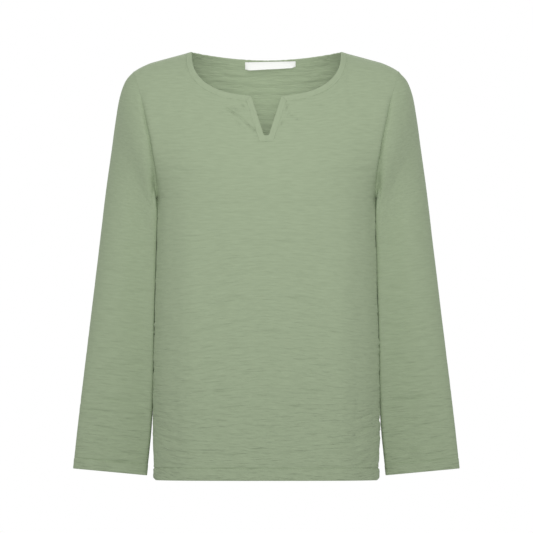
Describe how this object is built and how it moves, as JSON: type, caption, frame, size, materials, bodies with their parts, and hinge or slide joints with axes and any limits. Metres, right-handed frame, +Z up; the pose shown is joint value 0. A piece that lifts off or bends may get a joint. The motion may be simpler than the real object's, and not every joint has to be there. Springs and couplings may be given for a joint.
{
  "type": "long-sleeve top",
  "caption": "Loose long-sleeve top in crinkled cloth, filled out as worn, with a wide round neck and a V slit at the front.",
  "frame": {"origin": "midway between the two points where the shoulder seams meet the neck, where a wearer's shoulders hold the top up", "axes": "+Z up, from the hem to the shoulders; -Y is the front; +X is the wearer's left"},
  "size_m": [0.6024, 0.2328, 0.6703],
  "materials": {
    "cloth": "matt sage green, finely crinkled across",
    "label": "smooth white woven tape, blank"
  },
  "bodies": {
    "root": {"front": "cloth", "back": "cloth", "sleeve_left": "cloth", "sleeve_right": "cloth", "neck_binding": "cloth", "slit_binding": "cloth", "neck_label": "label"}
  },
  "joints": []
}
